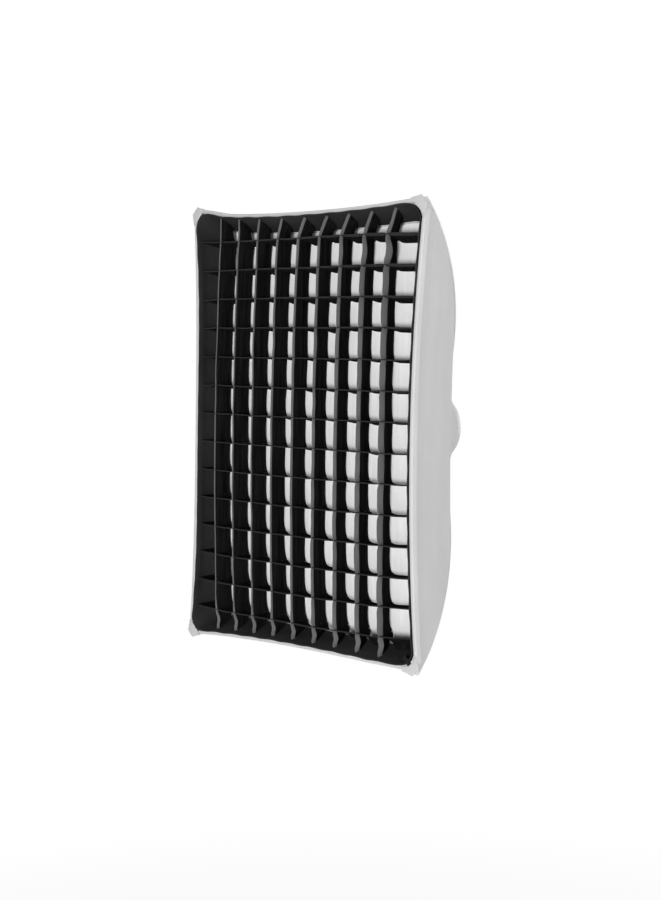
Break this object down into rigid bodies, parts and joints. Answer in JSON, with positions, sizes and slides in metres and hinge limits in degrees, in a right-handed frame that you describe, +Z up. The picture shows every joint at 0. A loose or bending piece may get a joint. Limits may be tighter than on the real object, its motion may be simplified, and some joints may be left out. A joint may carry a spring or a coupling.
{
  "type": "softbox",
  "caption": "Rectangular studio softbox: cloth shell on bowed rods, white front diffuser and inner baffle, fabric egg-crate grid, and a turning lamp ring with a bayonet.",
  "frame": {"origin": "on the lamp axis, in the plane of the lamp seat", "axes": "+Y back towards the lamp along the lamp axis, -Y is the lit front, +Z up along the long side, +X to the right for a viewer who faces the front"},
  "size_m": [0.6276, 0.463, 0.9008],
  "materials": {
    "cloth_grey": "plain woven nylon, satin",
    "cloth_black": "matt woven polyester",
    "cloth_white": "fine translucent weave",
    "cast_alloy": "fine-blasted casting",
    "bright_steel": "turned",
    "dark_metal": "satin black coating",
    "black_plastic": "moulded, fine grain"
  },
  "bodies": {
    "adapter": {"bayonet_adapter": "cast_alloy", "retaining_ring": "dark_metal", "retaining_screws": "bright_steel"},
    "softbox": {"speed_ring": "cast_alloy", "rod_upper_right": "dark_metal", "rod_upper_left": "dark_metal", "rod_lower_left": "dark_metal", "rod_lower_right": "dark_metal", "rod_ferrules": "cast_alloy", "rod_caps": "black_plastic", "shell_right": "cloth_grey", "shell_left": "cloth_grey", "shell_top": "cloth_grey", "shell_bottom": "cloth_grey", "rear_collar": "cloth_grey", "collar_elastic": "cloth_black", "corner_gussets": "cloth_grey", "front_lip": "cloth_grey", "lip_loop_tape": "cloth_black", "front_diffuser": "cloth_white", "diffuser_hem": "cloth_white", "inner_baffle": "cloth_white", "baffle_straps": "cloth_black", "baffle_snaps": "bright_steel"},
    "lock_screw": {"lock_screw": "bright_steel"},
    "lock_knob": {"lock_knob": "black_plastic"},
    "grid": {"grid_border_right": "cloth_black", "grid_border_left": "cloth_black", "grid_border_top": "cloth_black", "grid_border_bottom": "cloth_black", "grid_corners": "cloth_black", "grid_hook_tape": "cloth_black", "grid_pull_tab": "cloth_black", "upright_slat_1": "cloth_black", "upright_slat_2": "cloth_black", "upright_slat_3": "cloth_black", "upright_slat_4": "cloth_black", "upright_slat_5": "cloth_black", "upright_slat_6": "cloth_black", "upright_slat_7": "cloth_black", "upright_slat_8": "cloth_black", "upright_slat_9": "cloth_black", "cross_slat_1": "cloth_black", "cross_slat_2": "cloth_black", "cross_slat_3": "cloth_black", "cross_slat_4": "cloth_black", "cross_slat_5": "cloth_black", "cross_slat_6": "cloth_black", "cross_slat_7": "cloth_black", "cross_slat_8": "cloth_black", "cross_slat_9": "cloth_black", "cross_slat_10": "cloth_black", "cross_slat_11": "cloth_black", "cross_slat_12": "cloth_black", "cross_slat_13": "cloth_black", "cross_slat_14": "cloth_black"}
  },
  "joints": [
    {"name": "ring_rotation", "type": "hinge", "parent": "adapter", "child": "softbox", "pos_m": [0, 0, 0], "axis": [0, 1, 0], "continuous": true},
    {"name": "lock_screw_travel", "type": "slide", "parent": "softbox", "child": "lock_screw", "axis": [0, 0, -1], "range_m": [0, 0.002]},
    {"name": "lock_knob_turn", "type": "hinge", "parent": "lock_screw", "child": "lock_knob", "pos_m": [0, -0.0133, -0.09], "axis": [0, 0, -1], "range_deg": [0, 720]},
    {"name": "grid_pull_off", "type": "slide", "parent": "softbox", "child": "grid", "axis": [0, -1, 0], "range_m": [0, 0.12]}
  ],
  "couplings": [
    {"joint": "lock_screw_travel", "follows": "lock_knob_turn", "m_per_rad": 0.000159}
  ]
}
